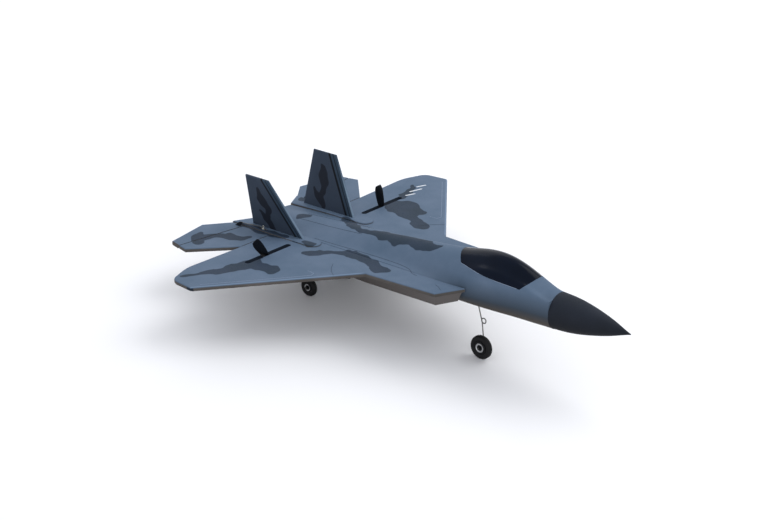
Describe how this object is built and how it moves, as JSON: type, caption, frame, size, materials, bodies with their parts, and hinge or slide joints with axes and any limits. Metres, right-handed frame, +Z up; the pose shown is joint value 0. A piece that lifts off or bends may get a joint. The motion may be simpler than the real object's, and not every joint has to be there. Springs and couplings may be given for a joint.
{
  "type": "radio control jet plane",
  "caption": "Foam twin-propeller jet model with twin fins, slotted wings, opening canopy hatch, elevons and a steerable wire tricycle undercarriage.",
  "frame": {"origin": "on the ground under the middle of the bounding box, standing on its three wheels", "axes": "+X forward, towards the nose; +Y to port; +Z up"},
  "size_m": [0.6121, 0.4994, 0.155],
  "materials": {
    "foam_upper": "painted expanded foam, fine bead texture, grey-blue camouflage",
    "foam_lower": "painted expanded foam, darker underside",
    "foam_fin": "painted expanded foam, dark grey camouflage",
    "nose_paint": "dark charcoal paint over foam",
    "canopy": "gloss dark navy film over foam",
    "carbon": "pultruded carbon tube",
    "wire": "drawn spring steel wire",
    "screws": "zinc plated",
    "black_plastic": "moulded nylon",
    "white_plastic": "moulded nylon",
    "propeller": "moulded black nylon",
    "motor_can": "drawn can",
    "tyre": "black foam rubber",
    "hub": "moulded black nylon",
    "collar": "turned aluminium",
    "battery": "shrink film",
    "tray": "thin plywood",
    "board": "solder-masked board",
    "magnet": "nickel plated"
  },
  "bodies": {
    "airframe": {"upper_fuselage": "foam_upper", "lower_fuselage": "foam_lower", "nose_cone": "nose_paint", "wing_spar": "carbon", "main_gear_wire": "wire", "main_gear_plate": "black_plastic", "gear_saddles": "black_plastic", "gear_screws": "screws", "nose_leg_bearing": "black_plastic", "steering_servo": "black_plastic", "battery_pack": "battery", "battery_tray": "tray", "receiver_board": "board", "body_magnet": "magnet", "left_wing": "foam_upper", "left_intake_block": "foam_lower", "left_tail_boom": "foam_upper", "left_fin": "foam_fin", "left_tailplane": "foam_upper", "left_elevon_servo": "black_plastic", "left_motor_mount": "black_plastic", "left_motor": "motor_can", "left_wheel_collar": "collar", "right_wing": "foam_upper", "right_intake_block": "foam_lower", "right_tail_boom": "foam_upper", "right_fin": "foam_fin", "right_tailplane": "foam_upper", "right_elevon_servo": "black_plastic", "right_motor_mount": "black_plastic", "right_motor": "motor_can", "right_wheel_collar": "collar"},
    "hatch": {"canopy_hatch": "canopy", "hatch_magnet": "magnet"},
    "nose_leg": {"nose_leg_wire": "wire", "steering_arm": "white_plastic", "nose_wheel_collar": "collar"},
    "nose_wheel": {"nose_wheel_tyre": "tyre", "nose_wheel_hub": "hub"},
    "steering_servo_arm": {"steering_servo_arm": "white_plastic"},
    "steering_rod": {"steering_rod": "wire"},
    "left_elevon": {"left_elevon": "foam_upper", "left_control_horn": "white_plastic"},
    "left_servo_arm": {"left_servo_arm": "white_plastic"},
    "left_elevon_rod": {"left_elevon_rod": "wire"},
    "left_propeller": {"left_propeller": "propeller", "left_motor_shaft": "wire"},
    "left_wheel": {"left_wheel_tyre": "tyre", "left_wheel_hub": "hub"},
    "right_elevon": {"right_elevon": "foam_upper", "right_control_horn": "white_plastic"},
    "right_servo_arm": {"right_servo_arm": "white_plastic"},
    "right_elevon_rod": {"right_elevon_rod": "wire"},
    "right_propeller": {"right_propeller": "propeller", "right_motor_shaft": "wire"},
    "right_wheel": {"right_wheel_tyre": "tyre", "right_wheel_hub": "hub"}
  },
  "joints": [
    {"name": "hatch_tilt", "type": "hinge", "parent": "airframe", "child": "hatch", "pos_m": [0.17178, 0, 0.13729], "axis": [0, 1, 0], "range_deg": [0, 70]},
    {"name": "nose_steering", "type": "hinge", "parent": "airframe", "child": "nose_leg", "pos_m": [0.08545, 0, 0.0814], "axis": [-0.0856, 0, 0.9963], "range_deg": [-20, 20]},
    {"name": "nose_wheel_spin", "type": "hinge", "parent": "nose_leg", "child": "nose_wheel", "pos_m": [0.10115, -0.0056, 0.0155], "axis": [0, 1, 0], "continuous": true},
    {"name": "steering_servo_turn", "type": "hinge", "parent": "airframe", "child": "steering_servo_arm", "pos_m": [0.05353, 0, 0.0907], "axis": [-0.0856, 0, 0.9963], "range_deg": [-20, 20]},
    {"name": "steering_rod_slide", "type": "slide", "parent": "airframe", "child": "steering_rod", "axis": [0.9963, 0, 0.0856], "range_m": [-0.0032, 0.0032]},
    {"name": "left_elevon_hinge", "type": "hinge", "parent": "airframe", "child": "left_elevon", "pos_m": [-0.26612, 0.1, 0.07428], "axis": [-0.155, 0.9878, -0.0133], "range_deg": [-20, 20]},
    {"name": "left_servo_turn", "type": "hinge", "parent": "airframe", "child": "left_servo_arm", "pos_m": [-0.22903, 0.0575, 0.07345], "axis": [0, 1, 0], "range_deg": [-20, 20]},
    {"name": "left_rod_slide", "type": "slide", "parent": "airframe", "child": "left_elevon_rod", "axis": [0.98, -0.1804, 0.0842], "range_m": [-0.0032, 0.0032]},
    {"name": "left_propeller_spin", "type": "hinge", "parent": "airframe", "child": "left_propeller", "pos_m": [-0.16808, 0.1115, 0.07668], "axis": [0.9963, 0, 0.0856], "continuous": true},
    {"name": "left_wheel_spin", "type": "hinge", "parent": "airframe", "child": "left_wheel", "pos_m": [-0.16156, 0.038, 0.0125], "axis": [0, 1, 0], "continuous": true},
    {"name": "right_elevon_hinge", "type": "hinge", "parent": "airframe", "child": "right_elevon", "pos_m": [-0.26612, -0.1, 0.07428], "axis": [0.155, 0.9878, 0.0133], "range_deg": [-20, 20]},
    {"name": "right_servo_turn", "type": "hinge", "parent": "airframe", "child": "right_servo_arm", "pos_m": [-0.22903, -0.0575, 0.07345], "axis": [0, 1, 0], "range_deg": [-20, 20]},
    {"name": "right_rod_slide", "type": "slide", "parent": "airframe", "child": "right_elevon_rod", "axis": [0.98, 0.1804, 0.0842], "range_m": [-0.0032, 0.0032]},
    {"name": "right_propeller_spin", "type": "hinge", "parent": "airframe", "child": "right_propeller", "pos_m": [-0.16808, -0.1115, 0.07668], "axis": [0.9963, 0, 0.0856], "continuous": true},
    {"name": "right_wheel_spin", "type": "hinge", "parent": "airframe", "child": "right_wheel", "pos_m": [-0.16156, -0.038, 0.0125], "axis": [0, 1, 0], "continuous": true}
  ],
  "couplings": [
    {"joint": "steering_servo_turn", "follows": "nose_steering", "ratio": 1},
    {"joint": "steering_rod_slide", "follows": "nose_steering", "m_per_rad": -0.009},
    {"joint": "left_servo_turn", "follows": "left_elevon_hinge", "ratio": 0.5556},
    {"joint": "left_rod_slide", "follows": "left_elevon_hinge", "m_per_rad": 0.005},
    {"joint": "right_servo_turn", "follows": "right_elevon_hinge", "ratio": 0.5556},
    {"joint": "right_rod_slide", "follows": "right_elevon_hinge", "m_per_rad": 0.005}
  ]
}
